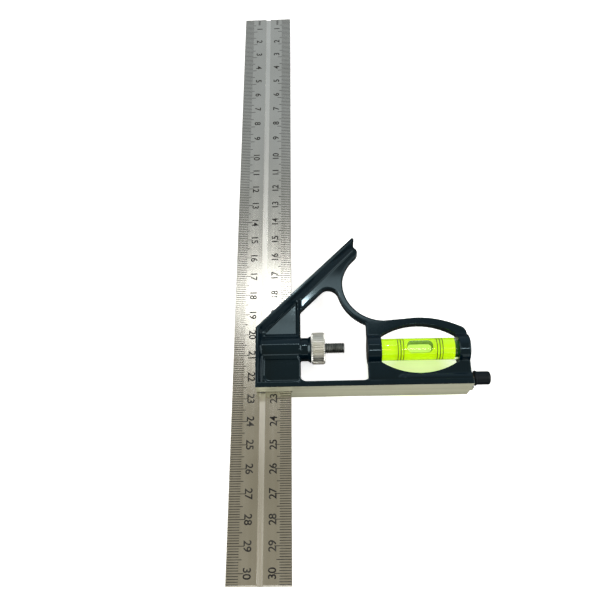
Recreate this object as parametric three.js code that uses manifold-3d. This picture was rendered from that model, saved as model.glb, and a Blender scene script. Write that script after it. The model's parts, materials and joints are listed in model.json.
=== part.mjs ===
// Combination square, 300 mm: a steel rule that slides through a cast head with a sole and a mitre
// face, a hook bolt with a knurled nut that clamps it, a spirit vial and a scriber kept in the head.
// Millimetres. The square lies on its back: +X runs along the sole away from the rule, +Y along the
// rule, +Z up. In the head's own frame Y = 0 is the sole, X = 0 the rule's outer edge and Z = 0 the
// middle of the rule's thickness.

import * as THREE from "three";
import { mergeVertices } from "three/addons/utils/BufferGeometryUtils.js";
import Module from "manifold-3d";

const wasm = await Module();
wasm.setup();

// Rule
const RULE_WIDTH = 26;
const RULE_LENGTH = 304.8;
const RULE_THICKNESS = 2;
const RULE_BELOW_SOLE = 77.7;
const GROOVE_X = [12.1, 14.6];
const GROOVE_FLOOR_Z = 0.1;

// Head casting
const HEAD_THICKNESS = 16.7;
const HEAD_LEFT_X = 10.7;
const HEAD_RIGHT_X = 105.4;
const SOLE_FLANGE = 2.5;
const LAND = 1.2;
const DRAFT = 1.6;
const MITRE_START_Y = 28.1;
const MITRE_END_X = 56.2;
const WEB_THICKNESS = 4;
const BLOCK_THICKNESS = 7.4;
const POCKET_FLOOR_Z = 2.9;
const UPPER_POCKET = { left: 13.9, right: 28.9, low: 25.8, belowMitre: 3.9, easing: 0.5 };
const LOWER_POCKET = { left: 14, right: 29.5, low: 3.9, high: 14.2, corner: 2.6 };
const WINDOW_X = [30.2, 60.2];
const WINDOW_CORNER = 3;
const WINDOW_SLOPE_OFFSET = 8;
const WINDOW_PEAK = { x: 43, y: 49.5 };
const RIM = { width: 1.3, lowZ: 2.4 };
const SLOT_CLEARANCE = 0.1;
const SLOT_RELIEF_X = 27.2;
const SLOT_RELIEF_Y = [12, 30];

// The round sweep between the mitre arm and the vial housing
const SWEEP = { x: 69.15, y: 51.5, outer: 18.95, inner: 21.9 };

// The round end of the mitre arm, the shoulder over the vial's end and the crown between them
const NOSE = { x: 55.2, y: 68.4, radius: 2.8 };
const SHOULDER = { x: 101.6, y: 25.6 };
const CROWN = { x: 84, y: -7.3, radius: 41 };

// Clamp
const BOLT_Y = 20.2;
const BOLT_TIP_X = 50;
const BOLT_RADIUS = 2.4;
const BOLT_HEAD_RADIUS = 3.6;
const BOLT_SHOULDER_X = 28;
const BOSS_RADIUS = 5.8;
const BOSS_START_X = 12.3;
const NOSE_DROP = 0.5;
const BOSS_NOSE_RADIUS = 5.3;
const BOSS_END_X = 35;
const SPRING_SEAT_X = 33.6;
const BOLT_TRAVEL = 0.8;
const LUG_X = [13.1, 14.55];
const NUT_X = [35.15, 41.3];
const NUT_RADIUS = 7.2;
const NUT_KNURLS = 40;
const KNURL_DEPTH = 0.45;
const NUT_CHAMFER = 0.6;

// Vial
const VIAL_Y = 18.9;
const VIAL_RADIUS = 4.9;
const VIAL_X = [62.6, 102];
const VIAL_WALL = 0.9;
const VIAL_BOSS_RADIUS = 6.5;
const VIAL_BOSS_LEFT_X = [WINDOW_X[1], 67.5];
const VIAL_BOSS_RIGHT_X = [95.8, 105.6];
const LENS = { x: 83.4, radius: 30, halfHeight: 11.6, halfLength: 17 };
const CAP_LENGTH = 3;
const BUBBLE = { x: 83.4, halfLength: 5.7, radius: 2.65 };

// Scriber
const SCRIBER_Y = 4.9;
const NEEDLE_RADIUS = 1;
const NEEDLE_X = [68, 111.5];
const NEEDLE_POINT = 6;
const RIDGE_X = [71.5, 105.6];
const RIDGE_RADIUS = 2.7;
const BUSH_X = [99, 105.8];
const BUSH_RADIUS = 1.8;
const KNOB_X = [106.3, 113.2];
const KNOB_RADIUS = 2.95;
const KNOB_COLLAR_RADIUS = 3.35;

const RUNNING_GAP = 0.06;
const OVERSHOOT = 1;

const paint = new THREE.MeshStandardMaterial({ color: 0x10161a, roughness: 0.3, metalness: 0 });
const satinSteel = new THREE.MeshStandardMaterial({ color: 0xa8a69e, roughness: 0.4, metalness: 1 });
const darkSteel = new THREE.MeshStandardMaterial({ color: 0x4c4f4e, roughness: 0.5, metalness: 1 });
const nickel = new THREE.MeshStandardMaterial({ color: 0xc9c8c2, roughness: 0.25, metalness: 1 });
const springSteel = new THREE.MeshStandardMaterial({ color: 0x8d8f90, roughness: 0.35, metalness: 1 });
const clearAcrylic = new THREE.MeshStandardMaterial({
  color: 0xd8f5a0, roughness: 0.05, metalness: 0, transparent: true, opacity: 0.4,
});
const vialLiquid = new THREE.MeshStandardMaterial({ color: 0xb4f000, roughness: 0.05, metalness: 0 });
const capPlastic = new THREE.MeshStandardMaterial({ color: 0x9fd61a, roughness: 0.4, metalness: 0 });
const blackPlastic = new THREE.MeshStandardMaterial({ color: 0x14191d, roughness: 0.45, metalness: 0 });
const brass = new THREE.MeshStandardMaterial({ color: 0xb08d4a, roughness: 0.35, metalness: 1 });

// A closed three.js geometry as a solid for cutting and joining
function solid(geometry) {
  const bare = geometry.index ? geometry.toNonIndexed() : geometry.clone();
  bare.deleteAttribute("normal");
  bare.deleteAttribute("uv");
  const merged = mergeVertices(bare, 1e-4);
  return new wasm.Manifold(new wasm.Mesh({
    numProp: 3,
    vertProperties: new Float32Array(merged.attributes.position.array),
    triVerts: new Uint32Array(merged.index.array),
  }));
}

function piece(name, body, material) {
  const { vertProperties, triVerts } = body.getMesh();
  const geometry = new THREE.BufferGeometry();
  geometry.setAttribute("position", new THREE.BufferAttribute(vertProperties, 3));
  geometry.setIndex(new THREE.BufferAttribute(triVerts, 1));
  geometry.computeVertexNormals();
  const mesh = new THREE.Mesh(geometry, material);
  mesh.name = name;
  return mesh;
}

function box([x0, x1], [y0, y1], [z0, z1]) {
  const geometry = new THREE.BoxGeometry(x1 - x0, y1 - y0, z1 - z0);
  geometry.translate((x0 + x1) / 2, (y0 + y1) / 2, (z0 + z1) / 2);
  return solid(geometry);
}

// An outline drawn in XY and raised from z0 to z1
function plate(shape, z0, z1, curveSegments = 24) {
  const geometry = new THREE.ExtrudeGeometry(shape, { depth: z1 - z0, bevelEnabled: false, curveSegments });
  geometry.translate(0, 0, z0);
  return solid(geometry);
}

// A body turned about a line parallel to X; the profile lists [x, radius]
function turned(profile, y, segments = 32) {
  const points = profile.map(([x, radius]) => new THREE.Vector2(radius, x));
  const geometry = new THREE.LatheGeometry(points, segments);
  geometry.rotateZ(-Math.PI / 2);
  geometry.translate(0, y, 0);
  return solid(geometry);
}

function rod(radius, [x0, x1], y, segments = 32) {
  return turned([[x0, 0], [x0, radius], [x1, radius], [x1, 0]], y, segments);
}

function polygon(points) {
  return new THREE.Shape(points.map(([x, y]) => new THREE.Vector2(x, y)));
}

const halfHead = HEAD_THICKNESS / 2;
const halfWeb = WEB_THICKNESS / 2;
const mitreOffset = MITRE_START_Y - HEAD_LEFT_X;
const mitreY = (x) => x + mitreOffset;

function arcPoint(centre, radius, degrees) {
  const angle = THREE.MathUtils.degToRad(degrees);
  return [centre.x + radius * Math.cos(angle), centre.y + radius * Math.sin(angle)];
}

function arcPoints(centre, radius, from, to, steps) {
  const step = (to - from) / steps;
  return Array.from({ length: steps + 1 }, (_, i) => arcPoint(centre, radius, from + step * i));
}

// The blunt tip of the mitre face, from the nose back to the face
const mitreEnd = [
  [MITRE_END_X, mitreY(MITRE_END_X) - 1.6],
  [MITRE_END_X - 0.6, mitreY(MITRE_END_X - 0.6) - 0.3],
  [MITRE_END_X - 1.4, mitreY(MITRE_END_X - 1.4)],
];

// Whole silhouette of the casting: sole, mitre face, nose, sweep and the crown over the vial
function headOutline() {
  return polygon([
    [HEAD_LEFT_X, 0],
    [HEAD_RIGHT_X, 0],
    ...arcPoints(SHOULDER, HEAD_RIGHT_X - SHOULDER.x, 0, 60, 4),
    ...arcPoints(CROWN, CROWN.radius, 64, 97, 9),
    ...arcPoints(SWEEP, SWEEP.outer, 268, 131, 22),
    ...arcPoints(NOSE, NOSE.radius, -40, 62, 6),
    ...mitreEnd,
    [HEAD_LEFT_X, MITRE_START_Y],
  ]);
}

// The wide flange that makes the sole, the outer edge and the mitre face, open towards the window
function flangeOutline() {
  const innerX = HEAD_LEFT_X + LAND;
  return polygon([
    [HEAD_LEFT_X, 0],
    [HEAD_RIGHT_X - 1, 0],
    [HEAD_RIGHT_X - 1, SOLE_FLANGE],
    [innerX, SOLE_FLANGE],
    [innerX, mitreY(innerX) - LAND * Math.SQRT2],
    [MITRE_END_X - 1, mitreY(MITRE_END_X - 1) - LAND * Math.SQRT2],
    [MITRE_END_X, mitreY(MITRE_END_X) - 2.4],
    ...mitreEnd,
    [HEAD_LEFT_X, MITRE_START_Y],
  ]);
}

// The sloping inner side of a flange: thick at the web and down to nothing at both lands. It runs
// for length along +X before it is turned by degrees about its start
function draftedWall(start, length, degrees) {
  const rootInLand = 0.2;
  const section = polygon([
    [0, halfHead],
    [-DRAFT, halfWeb],
    [-DRAFT, -halfWeb],
    [0, -halfHead],
    [rootInLand, -halfHead],
    [rootInLand, halfHead],
  ]);
  const geometry = new THREE.ExtrudeGeometry(section, { depth: length, bevelEnabled: false });
  geometry.applyMatrix4(new THREE.Matrix4().set(0, 0, 1, 0, 1, 0, 0, 0, 0, 1, 0, 0, 0, 0, 0, 1));
  geometry.rotateZ(THREE.MathUtils.degToRad(degrees));
  geometry.translate(start[0], start[1], 0);
  return solid(geometry);
}

// The large opening behind the clamp nut: straight sides, a slope along the mitre and the sweep
function windowOutline() {
  const [left, right] = WINDOW_X;
  const corner = WINDOW_CORNER;
  const shape = new THREE.Shape();
  shape.moveTo(left + corner, SOLE_FLANGE);
  shape.lineTo(right - corner, SOLE_FLANGE);
  shape.quadraticCurveTo(right, SOLE_FLANGE, right, SOLE_FLANGE + corner);
  const sweepStart = -THREE.MathUtils.radToDeg(Math.acos((right - SWEEP.x) / SWEEP.inner));
  const sweep = arcPoints(SWEEP, SWEEP.inner, 360 + sweepStart, 196, 10);
  sweep.forEach(([x, y]) => shape.lineTo(x, y));
  const [lastX, lastY] = sweep[sweep.length - 1];
  const { x: peakX, y: peakY } = WINDOW_PEAK;
  const slopeY = (x) => x + WINDOW_SLOPE_OFFSET;
  shape.bezierCurveTo(lastX - 0.7, lastY + 3.2, peakX + 1.6, peakY, peakX, peakY);
  shape.bezierCurveTo(peakX - 1.5, peakY, peakX - 2.4, slopeY(peakX - 2.4), peakX - 3.6, slopeY(peakX - 3.6));
  shape.lineTo(left, slopeY(left));
  shape.lineTo(left, SOLE_FLANGE + corner);
  shape.quadraticCurveTo(left, SOLE_FLANGE, left + corner, SOLE_FLANGE);
  return shape;
}

// The pointed oval that shows the vial, from two equal arcs
function lensOutline() {
  const half = THREE.MathUtils.radToDeg(Math.asin(LENS.halfLength / LENS.radius));
  const drop = LENS.radius - LENS.halfHeight;
  const above = { x: LENS.x, y: VIAL_Y - drop };
  const below = { x: LENS.x, y: VIAL_Y + drop };
  return polygon([
    ...arcPoints(above, LENS.radius, 90 - half, 90 + half, 14),
    ...arcPoints(below, LENS.radius, 270 - half, 270 + half, 14),
  ]);
}

// The thick block that the rule passes through
function blockOutline() {
  const right = WINDOW_X[0];
  return polygon([
    [HEAD_LEFT_X, 0],
    [right, 0],
    [right, mitreY(right) - 1],
    [HEAD_LEFT_X + 1, MITRE_START_Y],
    [HEAD_LEFT_X, MITRE_START_Y],
  ]);
}

// The three-cornered pocket above the clamp boss, with its corners eased
function upperPocketOutline() {
  const { left, right, low, easing } = UPPER_POCKET;
  const leftTop = left + mitreOffset - UPPER_POCKET.belowMitre;
  const rightTop = right + mitreOffset - UPPER_POCKET.belowMitre;
  return polygon([
    [left + easing, low],
    [right, low],
    [right, rightTop],
    [right - 2 * easing, rightTop - 2 * easing],
    [left, leftTop],
    [left, low + easing],
  ]);
}

// The pocket below the boss, with one large corner
function lowerPocketOutline() {
  const { left, right, low, high, corner } = LOWER_POCKET;
  const centre = { x: left + corner, y: low + corner };
  return polygon([
    ...arcPoints(centre, corner, 180, 270, 4),
    [right, low],
    [right, high],
    [left, high],
  ]);
}

// Takes the narrow rim between the pockets and the window down to a slope, on one side of the block
function rimSlope(side) {
  const highZ = BLOCK_THICKNESS / 2;
  const innerX = WINDOW_X[0] - RIM.width;
  const outerX = WINDOW_X[0] + OVERSHOOT;
  const section = polygon([
    [innerX, highZ],
    [WINDOW_X[0], RIM.lowZ],
    [outerX, RIM.lowZ],
    [outerX, highZ + OVERSHOOT],
    [innerX, highZ + OVERSHOOT],
  ]);
  const geometry = new THREE.ExtrudeGeometry(section, { depth: MITRE_END_X, bevelEnabled: false });
  geometry.rotateX(Math.PI / 2);
  geometry.translate(0, MITRE_END_X, 0);
  return side > 0 ? solid(geometry) : solid(geometry).mirror([0, 0, 1]);
}

function blockWithPockets() {
  const halfBlock = BLOCK_THICKNESS / 2;
  let block = plate(blockOutline(), -halfBlock, halfBlock);
  for (const outline of [upperPocketOutline(), lowerPocketOutline()]) {
    block = block.subtract(plate(outline, POCKET_FLOOR_Z, halfBlock + OVERSHOOT));
    block = block.subtract(plate(outline, -halfBlock - OVERSHOOT, -POCKET_FLOOR_Z));
  }
  for (const side of [-1, 1]) {
    block = block.subtract(rimSlope(side));
  }
  return block;
}

function clampBoss() {
  return rod(BOSS_RADIUS, [BOSS_START_X, WINDOW_X[0]], BOLT_Y);
}

// The clamp boss runs on beyond the block, a little lower, and flares out to the nut's face
function clampBossNose() {
  return turned([
    [WINDOW_X[0] - 1, 0],
    [WINDOW_X[0] - 1, BOSS_NOSE_RADIUS],
    [BOSS_END_X - 1.4, BOSS_NOSE_RADIUS],
    [BOSS_END_X - 0.5, BOSS_NOSE_RADIUS + 0.7],
    [BOSS_END_X, BOSS_NOSE_RADIUS + 0.9],
    [BOSS_END_X, 0],
  ], BOLT_Y - NOSE_DROP);
}

function vialBoss([x0, x1]) {
  return turned([
    [x0, 0],
    [x0, VIAL_BOSS_RADIUS],
    [x1 - 0.5, VIAL_BOSS_RADIUS],
    [x1, VIAL_BOSS_RADIUS - 0.5],
    [x1, 0],
  ], VIAL_Y);
}

function scriberRidge() {
  const [x0, x1] = RIDGE_X;
  return turned([
    [x0, 0],
    [x0 + 0.6, 1.4],
    [x0 + 2.2, 2.2],
    [x0 + 4.5, RIDGE_RADIUS],
    [x1, RIDGE_RADIUS],
    [x1, 0],
  ], SCRIBER_Y, 24);
}

// The rule's channel: open at the outer edge, with a relief beyond the seat that the rule is drawn to
function ruleSlot() {
  const halfSlot = RULE_THICKNESS / 2 + SLOT_CLEARANCE;
  const z = [-halfSlot, halfSlot];
  const pastMitre = mitreY(WINDOW_X[0]) + OVERSHOOT;
  const seatX = [HEAD_LEFT_X - OVERSHOOT, RULE_WIDTH + SLOT_CLEARANCE];
  const seat = box(seatX, [-OVERSHOOT, pastMitre], z);
  const relief = box([RULE_WIDTH - OVERSHOOT, SLOT_RELIEF_X], SLOT_RELIEF_Y, z);
  return seat.add(relief);
}

function clampBore() {
  const headX = [HEAD_LEFT_X - OVERSHOOT, SPRING_SEAT_X];
  const studX = [SPRING_SEAT_X - OVERSHOOT, BOSS_END_X + OVERSHOOT];
  const headBore = rod(BOLT_HEAD_RADIUS + SLOT_CLEARANCE, headX, BOLT_Y);
  const studBore = rod(BOLT_RADIUS + SLOT_CLEARANCE, studX, BOLT_Y);
  return headBore.add(studBore);
}

function vialBore() {
  return rod(VIAL_RADIUS + RUNNING_GAP, [VIAL_X[0] - 0.3, VIAL_BOSS_RIGHT_X[1] + OVERSHOOT], VIAL_Y);
}

function scriberBore() {
  const bushSeat = rod(BUSH_RADIUS + RUNNING_GAP, [BUSH_X[0] - 0.1, RIDGE_X[1] + OVERSHOOT], SCRIBER_Y, 24);
  const needleHole = rod(NEEDLE_RADIUS + 0.2, [NEEDLE_X[0] - 1, BUSH_X[0] + OVERSHOOT], SCRIBER_Y, 24);
  return bushSeat.add(needleHole);
}

// Full-thickness fillets in the two lower corners of the window
function windowCorner(x0, x1) {
  return box([x0, x1], [SOLE_FLANGE - 0.5, SOLE_FLANGE + WINDOW_CORNER], [-halfHead, halfHead]);
}

function makeHead() {
  const [left, right] = WINDOW_X;
  const innerX = HEAD_LEFT_X + LAND;
  const innerMitreY = mitreY(innerX) - LAND * Math.SQRT2;
  const mitreLength = (MITRE_END_X - 1.6 - innerX) * Math.SQRT2;
  let head = plate(headOutline(), -halfWeb, halfWeb)
    .add(plate(flangeOutline(), -halfHead, halfHead))
    .add(draftedWall([innerX, innerMitreY], mitreLength, 45))
    .add(draftedWall([innerX, SOLE_FLANGE / 2], innerMitreY - SOLE_FLANGE / 2, 90))
    .add(blockWithPockets())
    .add(windowCorner(left, left + WINDOW_CORNER))
    .add(windowCorner(right - WINDOW_CORNER, right));
  head = head.subtract(plate(windowOutline(), -halfHead - OVERSHOOT, halfHead + OVERSHOOT, 6));
  head = head
    .add(clampBoss())
    .add(clampBossNose())
    .add(vialBoss(VIAL_BOSS_LEFT_X))
    .add(vialBoss(VIAL_BOSS_RIGHT_X))
    .add(scriberRidge());
  head = head
    .subtract(plate(lensOutline(), -halfHead, halfHead))
    .subtract(ruleSlot())
    .subtract(clampBore())
    .subtract(vialBore())
    .subtract(scriberBore());
  return piece("head", head, paint);
}

function makeRule() {
  const half = RULE_THICKNESS / 2;
  const y = [-RULE_BELOW_SOLE, RULE_LENGTH - RULE_BELOW_SOLE];
  const blade = box([0, RULE_WIDTH], y, [-half, half]);
  const groove = box(GROOVE_X, [y[0] - OVERSHOOT, y[1] + OVERSHOOT], [GROOVE_FLOOR_Z, half + OVERSHOOT]);
  return piece("rule", blade.subtract(groove), satinSteel);
}

// The hook bolt: a round head cut away to clear the rule, with a lug in the groove, and a threaded stud
function makeClampBolt() {
  const half = RULE_THICKNESS / 2;
  const clearZ = half + 0.08;
  const body = turned([
    [LUG_X[0] - 0.4, 0],
    [LUG_X[0] - 0.4, BOLT_HEAD_RADIUS - 0.3],
    [LUG_X[0] - 0.1, BOLT_HEAD_RADIUS],
    [BOLT_SHOULDER_X, BOLT_HEAD_RADIUS],
    [BOLT_SHOULDER_X, BOLT_RADIUS],
    [BOLT_TIP_X - 0.7, BOLT_RADIUS],
    [BOLT_TIP_X, BOLT_RADIUS - 0.6],
    [BOLT_TIP_X, 0],
  ], BOLT_Y);
  const away = box([0, RULE_WIDTH + BOLT_TRAVEL + 0.3], [BOLT_Y - 6, BOLT_Y + 6], [-6, clearZ]);
  const lug = box(LUG_X, [BOLT_Y - 2.6, BOLT_Y + 2.6], [GROOVE_FLOOR_Z + 0.08, clearZ + 0.3]);
  return piece("clamp_bolt", body.subtract(away).add(lug), darkSteel);
}

// A compression spring round the stud, between the bolt's shoulder and the seat in the boss
function makeClampSpring() {
  const wire = 0.3;
  const coil = 3.15;
  const turns = 4;
  const x0 = BOLT_SHOULDER_X + wire + 0.1;
  const length = SPRING_SEAT_X - BOLT_SHOULDER_X - 2 * (wire + 0.1);
  class Helix extends THREE.Curve {
    getPoint(t) {
      const angle = 2 * Math.PI * turns * t;
      return new THREE.Vector3(x0 + length * t, BOLT_Y + coil * Math.cos(angle), coil * Math.sin(angle));
    }
  }
  const section = polygon(arcPoints({ x: 0, y: 0 }, wire, 0, 300, 5));
  const geometry = new THREE.ExtrudeGeometry(section, { steps: turns * 14, extrudePath: new Helix() });
  return piece("clamp_spring", solid(geometry), springSteel);
}

// Straight knurls round the rim, with both ends chamfered
function makeKnurledNut() {
  const [x0, x1] = NUT_X;
  const valley = NUT_RADIUS - KNURL_DEPTH;
  const rim = Array.from({ length: NUT_KNURLS * 2 }, (_, i) => {
    return arcPoint({ x: 0, y: 0 }, i % 2 ? valley : NUT_RADIUS, (i * 180) / NUT_KNURLS);
  });
  const geometry = new THREE.ExtrudeGeometry(polygon(rim), { depth: x1 - x0, bevelEnabled: false });
  geometry.rotateY(Math.PI / 2);
  geometry.translate(x0, BOLT_Y, 0);
  const envelope = turned([
    [x0, 0],
    [x0, valley - 0.2],
    [x0 + NUT_CHAMFER, NUT_RADIUS + 0.1],
    [x1 - NUT_CHAMFER, NUT_RADIUS + 0.1],
    [x1, valley - 0.2],
    [x1, 0],
  ], BOLT_Y, 40);
  const thread = rod(BOLT_RADIUS + RUNNING_GAP, [x0 - OVERSHOOT, x1 + OVERSHOOT], BOLT_Y);
  return piece("knurled_nut", solid(geometry).intersect(envelope).subtract(thread), nickel);
}

function makeVialTube() {
  const [x0, x1] = VIAL_X;
  const outside = rod(VIAL_RADIUS, VIAL_X, VIAL_Y);
  const inside = rod(VIAL_RADIUS - VIAL_WALL, [x0 - OVERSHOOT, x1 + OVERSHOOT], VIAL_Y);
  return piece("vial_tube", outside.subtract(inside), clearAcrylic);
}

function makeVialCap(name, [x0, x1]) {
  return piece(name, rod(VIAL_RADIUS - VIAL_WALL - RUNNING_GAP, [x0, x1], VIAL_Y), capPlastic);
}

// The liquid, with the bubble as a hollow that opens at its top
function makeVialLiquid() {
  const radius = VIAL_RADIUS - VIAL_WALL - RUNNING_GAP;
  const fill = [VIAL_X[0] + CAP_LENGTH + 0.1, VIAL_X[1] - CAP_LENGTH - 0.1];
  const rise = radius - 0.9;
  const { x, halfLength, radius: bubbleRadius } = BUBBLE;
  const bubble = turned([
    [x - halfLength, 0],
    [x - halfLength + 0.5, bubbleRadius * 0.55],
    [x - halfLength + 1.6, bubbleRadius * 0.9],
    [x - halfLength + 3, bubbleRadius],
    [x + halfLength - 3, bubbleRadius],
    [x + halfLength - 1.6, bubbleRadius * 0.9],
    [x + halfLength - 0.5, bubbleRadius * 0.55],
    [x + halfLength, 0],
  ], VIAL_Y, 20).translate([0, 0, rise]);
  return piece("vial_liquid", rod(radius, fill, VIAL_Y).subtract(bubble), vialLiquid);
}

// The disc that closes the bore behind the vial
function makeVialPlug() {
  const body = turned([
    [VIAL_X[1] + 0.1, 0],
    [VIAL_X[1] + 0.1, VIAL_RADIUS],
    [VIAL_BOSS_RIGHT_X[1] - 0.4, VIAL_RADIUS],
    [VIAL_BOSS_RIGHT_X[1] - 0.1, VIAL_RADIUS - 0.3],
    [VIAL_BOSS_RIGHT_X[1] - 0.1, 0],
  ], VIAL_Y);
  return piece("vial_plug", body, blackPlastic);
}

function makeScriberNeedle() {
  const [x0, x1] = NEEDLE_X;
  const body = turned([
    [x0, 0],
    [x0 + NEEDLE_POINT, NEEDLE_RADIUS],
    [x1, NEEDLE_RADIUS],
    [x1, 0],
  ], SCRIBER_Y, 20);
  return piece("scriber_needle", body, satinSteel);
}

function makeScriberBush() {
  const outside = rod(BUSH_RADIUS, BUSH_X, SCRIBER_Y, 24);
  const boreX = [BUSH_X[0] - OVERSHOOT, BUSH_X[1] + OVERSHOOT];
  const inside = rod(NEEDLE_RADIUS + RUNNING_GAP, boreX, SCRIBER_Y, 20);
  return piece("scriber_bush", outside.subtract(inside), brass);
}

function makeScriberKnob() {
  const [x0, x1] = KNOB_X;
  const body = turned([
    [x0, 0],
    [x0, KNOB_COLLAR_RADIUS],
    [x0 + 0.7, KNOB_COLLAR_RADIUS],
    [x0 + 0.9, KNOB_RADIUS],
    [x1 - 0.8, KNOB_RADIUS],
    [x1 - 0.25, KNOB_RADIUS - 0.3],
    [x1, KNOB_RADIUS - 1],
    [x1, 0],
  ], SCRIBER_Y);
  const socket = rod(NEEDLE_RADIUS + RUNNING_GAP, [x0 - OVERSHOOT, NEEDLE_X[1] + 0.1], SCRIBER_Y, 20);
  return piece("scriber_knob", body.subtract(socket), blackPlastic);
}

const square = new THREE.Group();
square.add(makeRule());
square.add(makeHead());
square.add(makeClampBolt(), makeClampSpring(), makeKnurledNut());
square.add(makeVialTube(), makeVialLiquid());
square.add(makeVialCap("vial_cap_left", [VIAL_X[0], VIAL_X[0] + CAP_LENGTH]));
square.add(makeVialCap("vial_cap_right", [VIAL_X[1] - CAP_LENGTH, VIAL_X[1]]));
square.add(makeVialPlug());
square.add(makeScriberNeedle(), makeScriberBush(), makeScriberKnob());

// The origin is under the middle of the whole square, on the surface it lies on
square.position.set(-KNOB_X[1] / 2, RULE_BELOW_SOLE - RULE_LENGTH / 2, halfHead);

const group = new THREE.Group();
group.add(square);

export default group;
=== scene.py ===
import bpy
import bmesh
import json
import math
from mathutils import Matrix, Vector

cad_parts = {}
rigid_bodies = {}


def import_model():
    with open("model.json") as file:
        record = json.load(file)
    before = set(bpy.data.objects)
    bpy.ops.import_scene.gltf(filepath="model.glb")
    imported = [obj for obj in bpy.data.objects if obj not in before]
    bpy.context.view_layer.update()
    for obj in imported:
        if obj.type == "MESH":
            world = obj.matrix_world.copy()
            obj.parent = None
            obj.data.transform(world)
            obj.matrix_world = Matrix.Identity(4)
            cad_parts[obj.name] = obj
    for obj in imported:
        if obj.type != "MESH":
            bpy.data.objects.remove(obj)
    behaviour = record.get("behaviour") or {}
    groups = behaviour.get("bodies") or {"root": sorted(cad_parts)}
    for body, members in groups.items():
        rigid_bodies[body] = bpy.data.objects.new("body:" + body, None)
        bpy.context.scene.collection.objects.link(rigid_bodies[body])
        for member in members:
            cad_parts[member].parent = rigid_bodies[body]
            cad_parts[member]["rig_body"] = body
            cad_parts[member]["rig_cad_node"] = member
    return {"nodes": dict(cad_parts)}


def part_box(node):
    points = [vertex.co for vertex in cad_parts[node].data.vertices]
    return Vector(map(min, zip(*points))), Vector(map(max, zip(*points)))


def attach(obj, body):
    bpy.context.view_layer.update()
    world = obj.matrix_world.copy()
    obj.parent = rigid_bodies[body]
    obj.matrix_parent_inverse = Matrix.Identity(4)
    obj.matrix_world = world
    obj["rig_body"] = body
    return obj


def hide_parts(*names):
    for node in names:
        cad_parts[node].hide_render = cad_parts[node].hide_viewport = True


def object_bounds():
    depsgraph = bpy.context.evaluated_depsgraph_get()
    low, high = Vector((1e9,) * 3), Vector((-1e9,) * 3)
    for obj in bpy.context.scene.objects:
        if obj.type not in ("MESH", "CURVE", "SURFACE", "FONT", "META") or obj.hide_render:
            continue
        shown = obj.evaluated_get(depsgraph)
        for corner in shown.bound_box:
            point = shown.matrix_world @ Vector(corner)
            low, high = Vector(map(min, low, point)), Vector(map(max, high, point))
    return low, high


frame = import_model()
cad_box = [list(corner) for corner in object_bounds()]

# The head's own frame, in millimetres: X from the rule's outer edge, Y from the sole, Z from the
# middle of the rule's thickness
MM = 0.001
rule_low, rule_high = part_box("rule")
SQUARE_ORIGIN = Vector((rule_low.x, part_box("head")[0].y, (rule_low.z + rule_high.z) / 2))


def at(x, y, z=0.0):
    return SQUARE_ORIGIN + Vector((x, y, z)) * MM


# Points closer than this are one point, and this near a plane they lie on it
WELD = 0.002 * MM
ON_PLANE = 0.001 * MM

# Camera: millimetres and degrees, then the focal length for its sensor
CAMERA_PLACE = (37.785, -77.289, 265.21)
CAMERA_TURN = (24.6468, 1.8854, -0.5245)
CAMERA_LENS = 37.307

# Rule
RULE_WIDTH = 26.0
RULE_LENGTH = 304.8
RULE_BELOW_SOLE = 77.7
RULE_HALF = 1.0
RULE_EDGE_BEVEL = 0.12
GROOVE_X = (12.1, 14.6)
GROOVE_FLOOR = 0.1
END_CHAMFER = 0.6
END_TILT = 30

# Scale: its zero is the rule's far end
SCALE_ZERO_Y = RULE_LENGTH - RULE_BELOW_SOLE
MARK_HALF_WIDTH = 0.14
MARK_LENGTH = 4.9
FIVE_MARK_LENGTH = 6.1
TEN_MARK_LENGTH = 7.0
INK_TOP = RULE_HALF + 0.012
NUMBER_SIZE = 4.4
UNIT_SIZE = 2.3

# Head
HEAD_HALF = 8.35
HEAD_LEFT_X = 10.7
SLOT_GAP = 0.35
SLOT_REACH = (-2, 63.4)
MITRE_OFFSET = 17.4
GRIND = 0.5
SKIN_VOXEL = 0.26
SKIN_KEPT = 0.45

# Clamp
BOLT_Y = 20.2
BOLT_TIP_X = 50.0
THREAD_START_X = 34.0
THREAD_PITCH = 0.8
THREAD_CREST = 2.45
THREAD_ROOT = 1.98
NUT_X = (35.15, 41.3)
NUT_RADIUS = 7.2
NUT_KNURLS = 40
NUT_CHAMFER = 0.6

# Vial
VIAL_Y = 18.9
VIAL_RADIUS = 4.9
VIAL_WALL = 0.9
VIAL_X = (62.6, 102.0)
VIAL_MIDDLE = 83.5
LIQUID_X = (65.7, 98.9)
RING_OFFSETS = (-9.9, -8.65, -7.4, 7.4, 8.65, 9.9)
RING_HALF = 0.17
BUBBLE_HALF = 6.0
BUBBLE_RADIUS = 2.65
BUBBLE_Z = 2.9
BUBBLE_FLOOR_TOP = 1.1

# Scriber
SCRIBER_Y = 4.9
KNOB_X = (106.3, 113.2)
KNOB_RADIUS = 2.95
KNOB_COLLAR_RADIUS = 3.35
NEEDLE_END_X = 110.6
NEEDLE_BORE_RADIUS = 1.06

bpy.ops.object.camera_add(
    location=at(*CAMERA_PLACE),
    rotation=[math.radians(angle) for angle in CAMERA_TURN],
)
camera = bpy.context.object
camera.data.lens = CAMERA_LENS
camera.data.clip_start = 0.01
bpy.context.scene.camera = camera


# ---------------------------------------------------------------- modelling helpers

def only(*pieces):
    bpy.ops.object.select_all(action="DESELECT")
    for piece in pieces:
        piece.select_set(True)
    bpy.context.view_layer.objects.active = pieces[0]


def new_piece(name):
    piece = bpy.context.object
    piece.name = name
    piece.data.name = name
    return piece


def settle(piece):
    only(piece)
    bpy.ops.object.transform_apply(location=True, rotation=True, scale=True)
    return piece


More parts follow.
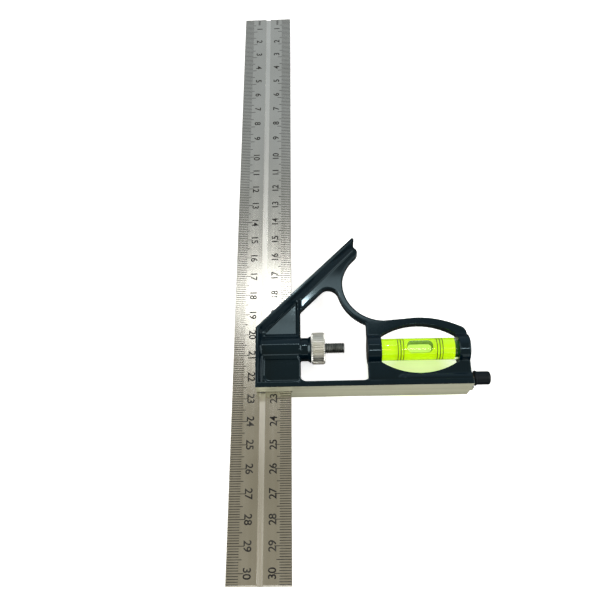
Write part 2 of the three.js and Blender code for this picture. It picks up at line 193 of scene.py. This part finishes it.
def copy_of_node(node, name):
    """A free copy of a CAD node, with its loose triangles merged."""
    only(frame["nodes"][node])
    bpy.ops.object.duplicate()
    piece = new_piece(name)
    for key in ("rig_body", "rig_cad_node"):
        if key in piece:
            del piece[key]
    piece.parent = None
    edit_all(piece)
    bpy.ops.mesh.remove_doubles(threshold=WELD)
    done()
    return piece


def edit(piece, mode="FACE"):
    only(piece)
    bpy.ops.object.mode_set(mode="EDIT")
    bpy.ops.mesh.select_mode(type=mode)
    bpy.ops.mesh.select_all(action="DESELECT")
    return bmesh.from_edit_mesh(piece.data)


def edit_all(piece, mode="VERT"):
    edit(piece, mode)
    bpy.ops.mesh.select_all(action="SELECT")


def done():
    bpy.ops.object.mode_set(mode="OBJECT")


def smooth(piece, degrees):
    only(piece)
    bpy.ops.object.shade_smooth_by_angle(angle=math.radians(degrees))


def pick_faces(piece, test):
    mesh = edit(piece, "FACE")
    for face in mesh.faces:
        face.select_set(test(face.calc_center_median(), face.normal))
    bmesh.update_edit_mesh(piece.data)


def pick_edges(piece, test):
    mesh = edit(piece, "EDGE")
    for edge in mesh.edges:
        edge.select_set(test(edge.verts[0].co, edge.verts[1].co))
    bmesh.update_edit_mesh(piece.data)


def pick_points(piece, test):
    mesh = edit(piece, "VERT")
    for point in mesh.verts:
        point.select_set(test(point.co))
    mesh.select_flush_mode()
    bmesh.update_edit_mesh(piece.data)


def give_faces(piece, slot, test):
    """Gives the faces that pass the test one of the piece's materials, and stays in edit mode."""
    pick_faces(piece, test)
    piece.active_material_index = slot
    bpy.ops.object.material_slot_assign()


def shift(x=0.0, y=0.0, z=0.0):
    bpy.ops.transform.translate(value=(x * MM, y * MM, z * MM))


def block(name, x, y, z):
    """A plain block between two limits on each axis."""
    bpy.ops.object.select_all(action="DESELECT")
    middle = at((x[0] + x[1]) / 2, (y[0] + y[1]) / 2, (z[0] + z[1]) / 2)
    bpy.ops.mesh.primitive_cube_add(size=1, location=middle)
    piece = new_piece(name)
    piece.scale = ((x[1] - x[0]) * MM, (y[1] - y[0]) * MM, (z[1] - z[0]) * MM)
    return settle(piece)


def bar(name, x, y, radius, sides=96):
    """A round bar along X."""
    bpy.ops.object.select_all(action="DESELECT")
    bpy.ops.mesh.primitive_cylinder_add(
        vertices=sides, radius=radius * MM, depth=(x[1] - x[0]) * MM,
        location=at((x[0] + x[1]) / 2, y), rotation=(0, math.pi / 2, 0))
    return settle(new_piece(name))


def apply_modifiers(piece):
    only(piece)
    for modifier in list(piece.modifiers):
        bpy.ops.object.modifier_apply(modifier=modifier.name)


def cut(piece, tool, operation="DIFFERENCE"):
    modifier = piece.modifiers.new("cut", "BOOLEAN")
    modifier.operation = operation
    modifier.solver = "EXACT"
    modifier.object = tool
    apply_modifiers(piece)
    bpy.data.objects.remove(tool)


def extrude_along_x(distance):
    bpy.ops.mesh.extrude_region_move(TRANSFORM_OT_translate={"value": (distance * MM, 0, 0)})


def keep_inside(place, normal):
    """Cuts all that is selected off at a plane, and closes it there."""
    bpy.ops.mesh.bisect(plane_co=place, plane_no=normal, use_fill=True, clear_outer=True)


def bevel_edges(width, segments):
    bpy.ops.mesh.bevel(offset=width * MM, segments=segments, profile=0.5, affect="EDGES")


def drill(piece, x, y, radius):
    """Bores a round piece along X, from just outside both limits."""
    cut(piece, bar(piece.name + "_bore", (x[0] - 1, x[1] + 1), y, radius))


# ---------------------------------------------------------------- materials

class Finish:
    """A procedural material on Object coordinates, built from a few kinds of node."""

    def __init__(self, name):
        self.material = bpy.data.materials.new(name)
        self.material.use_nodes = True
        self.tree = self.material.node_tree
        self.shader = self.tree.nodes["Principled BSDF"]
        self.coords = self.tree.nodes.new("ShaderNodeTexCoord")

    def set(self, **values):
        for name, value in values.items():
            self.shader.inputs[name.replace("_", " ")].default_value = value
        return self

    def node(self, kind, **values):
        node = self.tree.nodes.new("ShaderNode" + kind)
        for name, value in values.items():
            if name in node.inputs:
                node.inputs[name].default_value = value
            else:
                setattr(node, name, value)
        return node

    def link(self, source, target):
        self.tree.links.new(source, target)

    def stretched(self, scale, turn):
        mapping = self.node("Mapping")
        mapping.inputs["Scale"].default_value = scale
        mapping.inputs["Rotation"].default_value = turn
        self.link(self.coords.outputs["Object"], mapping.inputs["Vector"])
        return mapping.outputs["Vector"]

    def noise(self, scale, detail=4.0, stretch=(1, 1, 1), turn=(0, 0, 0)):
        node = self.node("TexNoise", Scale=scale, Detail=detail, Roughness=0.55)
        self.link(self.stretched(stretch, turn), node.inputs["Vector"])
        return node.outputs["Fac"]

    def between(self, value, low, high, start=0.3, end=0.7):
        """Maps the middle of a noise, or another span of a value, to a range."""
        node = self.node("MapRange")
        for name, number in (("From Min", start), ("From Max", end), ("To Min", low), ("To Max", high)):
            node.inputs[name].default_value = number
        self.link(value, node.inputs["Value"])
        return node.outputs["Result"]

    def blend(self, factor, first, second):
        """A colour between two others."""
        node = self.node("Mix", data_type="RGBA")
        node.inputs["A"].default_value = (*first, 1)
        node.inputs["B"].default_value = (*second, 1)
        self.link(factor, node.inputs["Factor"])
        return node.outputs["Result"]

    def colour(self, source):
        self.link(source, self.shader.inputs["Base Color"])
        return self

    def roughness(self, source):
        self.link(source, self.shader.inputs["Roughness"])
        return self

    def bumps(self, *heights):
        """Each height is (source, strength, distance in millimetres)."""
        previous = None
        for source, strength, distance in heights:
            bump = self.node("Bump", Strength=strength, Distance=distance * MM)
            self.link(source, bump.inputs["Height"])
            if previous:
                self.link(previous, bump.inputs["Normal"])
            previous = bump.outputs["Normal"]
        self.link(previous, self.shader.inputs["Normal"])
        return self


def finish_on(piece, finish):
    piece.data.materials.clear()
    piece.data.materials.append(finish.material)
    return piece


def make_black_enamel():
    enamel = Finish("black_enamel").set(Specular_IOR_Level=0.38, Specular_Tint=(0.68, 0.92, 1.0, 1))
    cloud = enamel.noise(60, 3)
    peel = enamel.noise(900, 2)
    grit = enamel.noise(3500, 2)
    shade = enamel.between(cloud, 0, 1)
    enamel.colour(enamel.blend(shade, (0.0008, 0.0050, 0.0090), (0.0014, 0.0072, 0.0125)))
    enamel.roughness(enamel.between(cloud, 0.05, 0.09))
    return enamel.bumps((peel, 0.06, 0.008), (grit, 0.04, 0.003))


def make_ground_metal(name, turn):
    metal = Finish(name).set(Metallic=0.5)
    scratches = metal.noise(1400, 5, (0.05, 1, 1), turn)
    streaks = metal.noise(500, 3, (0.03, 1, 1), turn)
    stain = metal.noise(90, 3)
    metal.colour(metal.blend(metal.between(streaks, 0, 1), (0.62, 0.64, 0.49), (0.76, 0.78, 0.60)))
    metal.roughness(metal.between(stain, 0.14, 0.26))
    return metal.bumps((scratches, 0.25, 0.008))


def make_rule_steel(name, dark, light, rough):
    steel = Finish(name).set(Metallic=1.0)
    grain = steel.noise(2600, 5, (1, 0.02, 1))
    streaks = steel.noise(700, 3, (1, 0.02, 1))
    handling = steel.noise(45, 4)
    steel.colour(steel.blend(steel.between(handling, 0, 1), dark, light))
    steel.roughness(steel.between(streaks, *rough))
    return steel.bumps((grain, 0.35, 0.008), (handling, 0.1, 0.02))


def make_graduation_ink():
    ink = Finish("graduation_ink").set(Specular_IOR_Level=0.15)
    fade = ink.noise(350, 4)
    ink.colour(ink.blend(ink.between(fade, 0, 1, 0.45, 0.8), (0.012, 0.012, 0.012), (0.07, 0.068, 0.06)))
    ink.roughness(ink.between(fade, 0.45, 0.6))
    return ink.bumps((fade, 0.2, 0.01))


def make_bright_nickel():
    nickel = Finish("bright_nickel").set(Metallic=1.0)
    wear = nickel.noise(300, 4)
    turning = nickel.noise(900, 3, (1, 0.2, 0.2))
    nickel.colour(nickel.blend(nickel.between(wear, 0, 1), (0.70, 0.70, 0.65), (0.82, 0.82, 0.77)))
    nickel.roughness(nickel.between(wear, 0.30, 0.40))
    return nickel.bumps((turning, 0.06, 0.006))


def make_dark_steel():
    steel = Finish("oiled_dark_steel").set(Metallic=1.0)
    wear = steel.noise(500, 4)
    steel.colour(steel.blend(steel.between(wear, 0, 1), (0.17, 0.185, 0.18), (0.34, 0.36, 0.35)))
    steel.roughness(steel.between(wear, 0.28, 0.5))
    return steel.bumps((steel.noise(1800, 3), 0.2, 0.008))


def make_clear_acrylic():
    acrylic = Finish("clear_acrylic").set(Transmission_Weight=1.0, IOR=1.49)
    ripple = acrylic.noise(120, 2, (0.3, 1, 1))
    acrylic.colour(acrylic.blend(acrylic.between(ripple, 0, 1), (0.90, 1.0, 0.72), (0.95, 1.0, 0.84)))
    acrylic.roughness(acrylic.between(ripple, 0.0, 0.04))
    return acrylic.bumps((ripple, 0.1, 0.02))


def make_vial_liquid():
    liquid = Finish("fluorescent_liquid_painted_glow").set(Transmission_Weight=0.6, IOR=1.36)
    cloud = liquid.noise(150, 2)
    liquid.colour(liquid.blend(liquid.between(cloud, 0, 1), (0.60, 0.88, 0.006), (0.68, 0.93, 0.012)))
    liquid.roughness(liquid.between(cloud, 0.02, 0.06))
    # The emission is painted glow: the liquid shines from within, in place of light passing through the
    # tube and the dye's fluorescence.
    return liquid.set(Emission_Color=(0.64, 0.82, 0.01, 1), Emission_Strength=0.34)


# The bubble's faces get painted light: a pale finish with painted glow on its floor, and a dark painted
# shade round its rim, in place of how the bubble bends the light.
def make_bubble_finish(name, dark, light, painted_glow):
    bubble = Finish(name).set(Transmission_Weight=0.4, IOR=1.36)
    cloud = bubble.noise(600, 2)
    bubble.colour(bubble.blend(bubble.between(cloud, 0, 1), dark, light))
    bubble.roughness(bubble.between(cloud, 0.05, 0.12))
    return bubble.set(Emission_Color=(*light, 1), Emission_Strength=painted_glow)


def make_ring_ink():
    ink = Finish("vial_ring_ink")
    fade = ink.noise(700, 3)
    ink.colour(ink.blend(ink.between(fade, 0, 1), (0.015, 0.03, 0.0), (0.05, 0.08, 0.004)))
    ink.roughness(ink.between(fade, 0.4, 0.55))
    return ink


def make_moulded_plastic(name, dark, light):
    plastic = Finish(name).set(Specular_IOR_Level=0.2)
    cloud = plastic.noise(200, 3)
    plastic.colour(plastic.blend(plastic.between(cloud, 0, 1), dark, light))
    plastic.roughness(plastic.between(cloud, 0.32, 0.5))
    return plastic.bumps((plastic.noise(2500, 3), 0.25, 0.01))


def make_turned_metal(name, dark, light, rough=(0.2, 0.35)):
    metal = Finish(name).set(Metallic=1.0)
    rings = metal.noise(2200, 3, (1, 0.04, 0.04))
    metal.colour(metal.blend(metal.between(rings, 0, 1), dark, light))
    metal.roughness(metal.between(rings, *rough))
    return metal.bumps((rings, 0.2, 0.006))


def make_table():
    """Pale and matt, with a painted yellow-green shadow and glow under the vial, where its light comes
    down through it.
    """
    table = Finish("pale_table")
    mottle = table.noise(14, 3)
    paint = table.blend(table.between(mottle, 0, 1), (0.86, 0.86, 0.86), (0.88, 0.88, 0.88))
    # Painted light: a soft yellow-green spot under the vial, in the colour and in the emission, stands
    # in for the light coming down through the vial.
    place = table.node("Mapping", vector_type="TEXTURE")
    place.inputs["Location"].default_value = at(VIAL_MIDDLE, VIAL_Y - 7, -HEAD_HALF)
    place.inputs["Scale"].default_value = (26 * MM, 17 * MM, 17 * MM)
    table.link(table.coords.outputs["Object"], place.inputs["Vector"])
    painted_glow_spot = table.node("TexGradient", gradient_type="SPHERICAL")
    table.link(place.outputs["Vector"], painted_glow_spot.inputs["Vector"])
    painted_glow_mix = table.node("Mix", data_type="RGBA")
    table.link(table.between(painted_glow_spot.outputs["Fac"], 0, 1, 0.0, 0.6), painted_glow_mix.inputs["Factor"])
    table.link(paint, painted_glow_mix.inputs["A"])
    painted_glow_mix.inputs["B"].default_value = (0.58, 0.70, 0.33, 1)
    table.colour(painted_glow_mix.outputs["Result"])
    table.link(painted_glow_mix.outputs["Result"], table.shader.inputs["Emission Color"])
    table.roughness(table.between(mottle, 0.75, 0.85))
    return table.set(Emission_Strength=0.8)


# ---------------------------------------------------------------- head casting

def make_head():
    casting = copy_of_node("head", "head_casting")

    # Stock for grinding is left on the sole and on the mitre face
    faces = (
        (at(0, 0), Vector((0, -1, 0)), ground_sole),
        (at(0, MITRE_OFFSET), Vector((-1, 1, 0)).normalized(), ground_mitre),
    )
    for place, normal, _ in faces:
        pick_points(casting, lambda point: (point - place).dot(normal) > -0.02 * MM)
        shift(x=GRIND * normal.x, y=GRIND * normal.y)
        done()

    # The cast skin: soft edges and a fillet in every corner
    skin = casting.modifiers.new("skin", "REMESH")
    skin.mode = "VOXEL"
    skin.voxel_size = SKIN_VOXEL * MM
    skin.use_smooth_shade = True
    soften = casting.modifiers.new("soften", "SMOOTH")
    soften.factor = 0.5
    soften.iterations = 4
    thin = casting.modifiers.new("thin", "DECIMATE")
    thin.ratio = SKIN_KEPT
    apply_modifiers(casting)

    # The rule runs in its slot with a hair of light above it
    gap_x = (HEAD_LEFT_X - 2, RULE_WIDTH + 0.6)
    gap_z = (RULE_HALF - 0.2, RULE_HALF + SLOT_GAP)
    cut(casting, block("slot_gap", gap_x, SLOT_REACH, gap_z))

    # Ground back to the true sole and mitre face, with crisp edges
    casting.data.materials.clear()
    casting.data.materials.append(black_enamel.material)
    for slot, (place, normal, metal) in enumerate(faces, 1):
        casting.data.materials.append(metal.material)
        edit_all(casting, "FACE")
        bpy.ops.mesh.bisect(plane_co=place, plane_no=normal)
        mesh = bmesh.from_edit_mesh(casting.data)
        for point in mesh.verts:
            proud = (point.co - place).dot(normal)
            if proud > 0:
                point.co -= normal * proud
        bmesh.update_edit_mesh(casting.data)
        bpy.ops.mesh.select_all(action="SELECT")
        bpy.ops.mesh.dissolve_degenerate(threshold=0.003 * MM)
        done()

        def is_ground(centre, face_normal):
            return abs((centre - place).dot(normal)) < 0.003 * MM and face_normal.dot(normal) > 0.9

        give_faces(casting, slot, is_ground)
        bpy.ops.mesh.region_to_loop()
        bpy.ops.mesh.mark_sharp()
        done()
    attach(casting, "head")
    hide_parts("head")


# ---------------------------------------------------------------- rule

def make_rule():
    low_y, high_y = -RULE_BELOW_SOLE, SCALE_ZERO_Y
    blade = block("rule_blade", (0, RULE_WIDTH), (low_y, high_y), (-RULE_HALF, RULE_HALF))
    edit_all(blade, "EDGE")
    bevel_edges(RULE_EDGE_BEVEL, 3)
    done()
    floor_z = at(0, 0, GROOVE_FLOOR).z
    cut(blade, block("groove_cutter", GROOVE_X, (low_y - 2, high_y + 2), (GROOVE_FLOOR, RULE_HALF + 1)))
    for end_y, tilt in ((low_y + END_CHAMFER, -END_TILT), (high_y - END_CHAMFER, END_TILT)):
        chamfer = block("end_chamfer", (-1, RULE_WIDTH + 1), (-3, 3), (0, 3))
        edit_all(chamfer)
        bpy.ops.transform.rotate(value=math.radians(tilt), orient_axis="X", center_override=at(0, 0))
        shift(y=end_y, z=RULE_HALF)
        done()
        cut(blade, chamfer)
    only(blade)
    bpy.ops.object.shade_flat()
    finish_on(blade, rule_steel)
    blade.data.materials.append(groove_steel.material)
    give_faces(blade, 1, lambda centre, normal: abs(centre.z - floor_z) < ON_PLANE)
    done()
    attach(blade, "rule")
    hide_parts("rule")


def mark_row(name, x, first, count):
    """A row of cross marks a centimetre apart, each a thin filled line, from the first reading down."""
    y = SCALE_ZERO_Y - first
    mark = block(name, x, (y - MARK_HALF_WIDTH, y + MARK_HALF_WIDTH), (RULE_HALF - 0.03, INK_TOP))
    row = mark.modifiers.new("row", "ARRAY")
    row.count = count
    row.use_relative_offset = False
    row.use_constant_offset = True
    row.constant_offset_displace = (0, -10 * MM, 0)
    apply_modifiers(mark)
    return mark


def make_number(text, x, reading, turn, size=NUMBER_SIZE):
    bpy.ops.object.select_all(action="DESELECT")
    bpy.ops.object.text_add(location=(0, 0, 0))
    label = bpy.context.object
    label.data.body = text
    label.data.align_x = "CENTER"
    label.data.align_y = "CENTER"
    label.data.size = size * MM
    label.data.extrude = 0.015 * MM
    label.data.offset = 0.016 * size * MM
    bpy.ops.object.convert(target="MESH")
    label = new_piece("number")
    label.scale = (1.02, 1, 1)
    settle(label)
    label.rotation_euler = (0, 0, math.radians(turn))
    label.location = at(x, SCALE_ZERO_Y - reading, RULE_HALF)
    return settle(label)


def make_scale(name, edge_x, side, centre):
    """One edge's millimetre scale: short marks, longer every five, longest every ten, and numbers.

    Side points from the edge into the rule, and centre is the middle of the column of numbers."""
    def reach(length):
        return tuple(sorted((edge_x + side * 0.15, edge_x + side * length)))

    rows = []
    for unit in (1, 2, 3, 4):
        rows.append(mark_row(name, reach(MARK_LENGTH), unit, 31))
    for unit in (6, 7, 8, 9):
        rows.append(mark_row(name, reach(MARK_LENGTH), unit, 30))
    rows.append(mark_row(name, reach(FIVE_MARK_LENGTH), 5, 30))
    rows.append(mark_row(name, reach(TEN_MARK_LENGTH), 10, 30))
    turn = -90 * side
    for centimetre in range(1, 31):
        text = str(centimetre)
        offset = 2.2 if len(text) == 1 else 0.0
        rows.append(make_number(text, centre, centimetre * 10 - offset, turn))
    rows.append(make_number("mm", centre, 2.9, turn, UNIT_SIZE))
    only(*rows)
    bpy.ops.object.join()
    scale = new_piece(name)
    finish_on(scale, graduation_ink)
    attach(scale, "rule")


# ---------------------------------------------------------------- clamp

def make_nut():
    straight = (NUT_X[0] + NUT_CHAMFER, NUT_X[1] - NUT_CHAMFER)
    nut = bar("knurled_nut_body", straight, BOLT_Y, NUT_RADIUS, NUT_KNURLS * 4)
    axis = at(0, BOLT_Y)
    for side in (-1, 1):
        pick_faces(nut, lambda centre, normal: normal.x * side > 0.99)
        extrude_along_x(side * NUT_CHAMFER)
        bpy.ops.transform.resize(value=(1, 0.90, 0.90), center_override=axis)
        bpy.ops.mesh.inset(thickness=1.4 * MM, depth=0)
        bpy.ops.mesh.inset(thickness=0.25 * MM, depth=-0.15 * MM)
        done()

    def in_valley(point):
        radius = math.hypot(point.y - axis.y, point.z - axis.z)
        place = math.atan2(point.y - axis.y, point.z - axis.z) / (2 * math.pi) * NUT_KNURLS
        return radius > (NUT_RADIUS - 0.05) * MM and abs(place - round(place)) < 0.1

    pick_points(nut, in_valley)
    bpy.ops.transform.resize(value=(1, 0.925, 0.925), center_override=axis)
    done()
    drill(nut, NUT_X, BOLT_Y, THREAD_CREST)
    smooth(nut, 25)
    finish_on(nut, bright_nickel)
    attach(nut, "nut")
    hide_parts("knurled_nut")


def make_bolt():
    hook = copy_of_node("clamp_bolt", "hook_bolt")
    edit_all(hook)
    keep_inside(at(THREAD_START_X, BOLT_Y), (1, 0, 0))
    done()
    smooth(hook, 30)

    # One turn of thread is a bent strip that is screwed along the stud
    bpy.ops.object.select_all(action="DESELECT")
    bpy.ops.mesh.primitive_plane_add(size=THREAD_PITCH / math.sqrt(2) * MM)
    thread = new_piece("thread")
    thread.rotation_euler = (0, 0, math.radians(45))
    settle(thread)
    pick_points(thread, lambda point: point.y < -0.3 * MM)
    bpy.ops.mesh.delete(type="VERT")
    done()
    thread.scale = (1, (THREAD_CREST - THREAD_ROOT) / (THREAD_PITCH / 2), 1)
    thread.location = (0, THREAD_ROOT * MM, 0)
    settle(thread)
    screw = thread.modifiers.new("screw", "SCREW")
    screw.axis = "X"
    screw.angle = 2 * math.pi
    screw.screw_offset = THREAD_PITCH * MM
    screw.iterations = math.ceil((BOLT_TIP_X - THREAD_START_X) / THREAD_PITCH) + 3
    screw.steps = 40
    screw.render_steps = 40
    screw.use_merge_vertices = True
    screw.merge_threshold = 0.001 * MM
    apply_modifiers(thread)
    thread.location = at(THREAD_START_X - THREAD_PITCH, BOLT_Y)
    settle(thread)
    edit_all(thread)
    bpy.ops.mesh.remove_doubles(threshold=0.001 * MM)
    bpy.ops.mesh.normals_make_consistent(inside=False)
    done()
    for x, normal in ((THREAD_START_X - 0.1, (-1, 0, 0)), (BOLT_TIP_X, (1, 0, 0))):
        edit_all(thread)
        keep_inside(at(x, BOLT_Y), normal)
        done()
    edit_all(thread)
    bpy.ops.mesh.normals_make_consistent(inside=False)
    done()
    envelope = bar("stud_envelope", (THREAD_START_X - 1, BOLT_TIP_X), BOLT_Y, THREAD_CREST + 0.02)
    near_tip = at(BOLT_TIP_X - 0.1, 0).x
    pick_edges(envelope, lambda a, b: min(a.x, b.x) > near_tip)
    bevel_edges(0.75, 3)
    done()
    cut(thread, envelope, "INTERSECT")
    smooth(thread, 35)
    only(hook, thread)
    bpy.ops.object.join()
    bolt = new_piece("hook_bolt")
    finish_on(bolt, dark_steel)
    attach(bolt, "clamp_bolt")
    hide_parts("clamp_bolt")


# ---------------------------------------------------------------- vial

def make_vial():
    tube = bar("vial_tube_clear", VIAL_X, VIAL_Y, VIAL_RADIUS)
    drill(tube, VIAL_X, VIAL_Y, VIAL_RADIUS - VIAL_WALL)
    axis = at(0, VIAL_Y)

    def on_outer_rim(a, b):
        return abs(a.x - b.x) < ON_PLANE and abs((a - axis).yz.length - VIAL_RADIUS * MM) < 0.01 * MM

    pick_edges(tube, on_outer_rim)
    bevel_edges(0.25, 3)
    done()
    smooth(tube, 40)
    finish_on(tube, clear_acrylic)
    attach(tube, "head")
    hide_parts("vial_tube")

    liquid = bar("vial_liquid_fill", LIQUID_X, VIAL_Y, VIAL_RADIUS - VIAL_WALL + 0.02, 128)
    bpy.ops.object.select_all(action="DESELECT")
    bpy.ops.mesh.primitive_uv_sphere_add(segments=64, ring_count=32, radius=BUBBLE_RADIUS * MM,
                                         location=(0, 0, 0), rotation=(0, math.pi / 2, 0))
    bubble = settle(new_piece("bubble"))
    for side in (-1, 1):
        pick_points(bubble, lambda point: point.x * side > 0.01 * MM)
        shift(x=side * (BUBBLE_HALF - BUBBLE_RADIUS))
        done()
    bubble.location = at(VIAL_MIDDLE, VIAL_Y, BUBBLE_Z)
    settle(bubble)
    cut(liquid, bubble)
    smooth(liquid, 35)
    finish_on(liquid, vial_liquid)
    floor_top = at(0, 0, BUBBLE_FLOOR_TOP).z

    def in_bubble(centre, normal):
        inside = (centre - axis).yz.length < (VIAL_RADIUS - VIAL_WALL - 0.06) * MM
        return inside and abs(normal.x) < 0.999

    # Painted light in the bubble: its floor gets the pale painted glow, its top the dark painted shade
    # that outlines it.
    liquid.data.materials.append(bubble_floor_painted_glow.material)
    liquid.data.materials.append(bubble_rim_painted_shade.material)
    give_faces(liquid, 1, lambda centre, normal: in_bubble(centre, normal) and centre.z <= floor_top)
    done()
    give_faces(liquid, 2, lambda centre, normal: in_bubble(centre, normal) and centre.z > floor_top)
    done()
    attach(liquid, "head")
    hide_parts("vial_liquid")

    rings = []
    for offset in RING_OFFSETS:
        middle = VIAL_MIDDLE + offset
        width = (middle - RING_HALF, middle + RING_HALF)
        ring = bar("vial_ring", width, VIAL_Y, VIAL_RADIUS + 0.03)
        drill(ring, width, VIAL_Y, VIAL_RADIUS + 0.005)
        rings.append(ring)
    only(*rings)
    bpy.ops.object.join()
    marks = new_piece("vial_rings")
    smooth(marks, 30)
    finish_on(marks, ring_ink)
    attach(marks, "head")


# ---------------------------------------------------------------- scriber

def make_knob():
    left, right = KNOB_X
    knob = bar("scriber_knob_body", (left + 0.9, right), SCRIBER_Y, KNOB_RADIUS)
    pick_faces(knob, lambda centre, normal: normal.x < -0.99)
    extrude_along_x(-0.2)
    widening = KNOB_COLLAR_RADIUS / KNOB_RADIUS
    bpy.ops.transform.resize(value=(1, widening, widening), center_override=at(0, SCRIBER_Y))
    extrude_along_x(-0.7)
    done()
    tip_x = at(right - 0.1, 0).x
    collar_x = at(left + 0.1, 0).x
    pick_edges(knob, lambda a, b: min(a.x, b.x) > tip_x)
    bevel_edges(0.9, 6)
    done()
    pick_edges(knob, lambda a, b: max(a.x, b.x) < collar_x)
    bevel_edges(0.2, 3)
    done()
    drill(knob, (left, NEEDLE_END_X), SCRIBER_Y, NEEDLE_BORE_RADIUS)
    smooth(knob, 35)
    finish_on(knob, black_plastic)
    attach(knob, "scriber")
    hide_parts("scriber_knob")


# ---------------------------------------------------------------- build

black_enamel = make_black_enamel()
ground_sole = make_ground_metal("ground_sole", (0, 0, 0))
ground_mitre = make_ground_metal("ground_mitre", (0, 0, math.radians(-45)))
rule_steel = make_rule_steel("satin_rule_steel", (0.57, 0.56, 0.51), (0.66, 0.65, 0.60), (0.15, 0.22))
groove_steel = make_rule_steel("groove_steel", (0.76, 0.75, 0.70), (0.84, 0.83, 0.78), (0.24, 0.32))
graduation_ink = make_graduation_ink()
bright_nickel = make_bright_nickel()
dark_steel = make_dark_steel()
clear_acrylic = make_clear_acrylic()
vial_liquid = make_vial_liquid()
bubble_floor_painted_glow = make_bubble_finish("bubble_floor_painted_glow", (0.66, 0.88, 0.20), (0.74, 0.93, 0.32), 0.4)
bubble_rim_painted_shade = make_bubble_finish("bubble_rim_painted_shade", (0.10, 0.22, 0.0), (0.16, 0.32, 0.0), 0.1)
ring_ink = make_ring_ink()
black_plastic = make_moulded_plastic("black_plastic", (0.0015, 0.0045, 0.0075), (0.003, 0.007, 0.011))
cap_plastic = make_moulded_plastic("vial_cap_plastic", (0.30, 0.55, 0.01), (0.38, 0.62, 0.03))
# The right vial cap gets a dark green copy of the cap plastic: painted shade, where the housing shadows
# that end of the vial.
cap_plastic_painted_shade = make_moulded_plastic("cap_plastic_painted_shade", (0.01, 0.13, 0.04), (0.02, 0.20, 0.06))
spring_wire = make_turned_metal("spring_wire", (0.42, 0.42, 0.43), (0.6, 0.6, 0.6))
needle_steel = make_turned_metal("needle_steel", (0.5, 0.5, 0.49), (0.68, 0.67, 0.65), (0.15, 0.28))
bush_brass = make_turned_metal("bush_brass", (0.60, 0.42, 0.16), (0.74, 0.54, 0.24))

make_head()
make_rule()
make_scale("scale_outer_edge", 0.0, 1, 8.15)
make_scale("scale_inner_edge", RULE_WIDTH, -1, 18.4)
make_nut()
make_bolt()
make_vial()
make_knob()

for node, finish in (
    ("clamp_spring", spring_wire),
    ("vial_cap_left", cap_plastic),
    ("vial_cap_right", cap_plastic_painted_shade),
    ("vial_plug", black_plastic),
    ("scriber_needle", needle_steel),
    ("scriber_bush", bush_brass),
):
    finish_on(frame["nodes"][node], finish)


# ---------------------------------------------------------------- table and lights

bpy.ops.object.select_all(action="DESELECT")
bpy.ops.mesh.primitive_plane_add(size=6, location=(0, 0, cad_box[0][2]))
table = new_piece("table")
settle(table)
finish_on(table, make_table())
table.visible_glossy = False


def softbox(name, place, aim, width, height, radiance):
    """A flat panel that faces the aim point, with its light given as radiance."""
    bpy.ops.object.select_all(action="DESELECT")
    direction = Vector(aim) - Vector(place)
    bpy.ops.object.light_add(type="AREA", location=place,
                             rotation=direction.to_track_quat("-Z", "Y").to_euler())
    panel = bpy.context.object
    panel.name = name
    panel.data.name = name
    panel.data.shape = "RECTANGLE"
    panel.data.size = width
    panel.data.size_y = height
    panel.data.energy = radiance * math.pi * width * height
    return panel


def overhead(name, x, y, z, width, height, radiance):
    """A panel that faces straight down over a point of the square, with its width along X."""
    place = at(x, y, z)
    panel = softbox(name, place, place - Vector((0, 0, 1)), width, height, radiance)
    panel.rotation_euler = (0, 0, 0)
    return panel


# Overhead places are in the head's millimetres, softbox places and all sizes in metres. Each overhead
# panel hangs where the steel, the enamel or the tube mirrors it into the camera.
CENTRE = at(40, 25)
overhead("key", 0, 507, 1000, 0.364, 0.108, 3.0)
overhead("pocket_light", -42, 424, 1000, 0.090, 0.050, 3.4)
overhead("lamp", 12, 486, 985, 0.022, 0.034, 75)
softbox("left_fill", (-1.3, -0.1, 0.8), CENTRE, 1.2, 1.0, 4.5)
softbox("right_fill", (1.3, -0.1, 0.8), CENTRE, 1.2, 1.0, 4.5)
overhead("vial_strip", 255, -300, 1000, 0.30, 0.050, 20)
softbox("low_front", (0.0, -1.25, 0.33), CENTRE, 2.4, 0.5, 0.65)
softbox("end_strip", (-0.155, -1.20, 0.49), CENTRE, 0.28, 0.16, 1.3)


def make_studio():
    """A dim room: warm overhead, a little brighter towards the back wall, dark below."""
    world = bpy.data.worlds.new("studio")
    bpy.context.scene.world = world
    world.use_nodes = True
    tree = world.node_tree
    coords = tree.nodes.new("ShaderNodeTexCoord")
    split = tree.nodes.new("ShaderNodeSeparateXYZ")
    tree.links.new(coords.outputs["Generated"], split.inputs["Vector"])
    back = tree.nodes.new("ShaderNodeValToRGB")
    back.color_ramp.elements[0].position = 0.30
    back.color_ramp.elements[0].color = (0.36, 0.33, 0.255, 1)
    back.color_ramp.elements[1].position = 0.62
    back.color_ramp.elements[1].color = (0.48, 0.515, 0.54, 1)
    tree.links.new(split.outputs["Y"], back.inputs["Fac"])
    floor = tree.nodes.new("ShaderNodeMapRange")
    for name, number in (("From Min", -0.05), ("From Max", 0.1), ("To Min", 0.2), ("To Max", 1.0)):
        floor.inputs[name].default_value = number
    tree.links.new(split.outputs["Z"], floor.inputs["Value"])
    background = tree.nodes["Background"]
    tree.links.new(back.outputs["Color"], background.inputs["Color"])
    tree.links.new(floor.outputs["Result"], background.inputs["Strength"])


make_studio()
bpy.context.scene.view_settings.view_transform = "Standard"
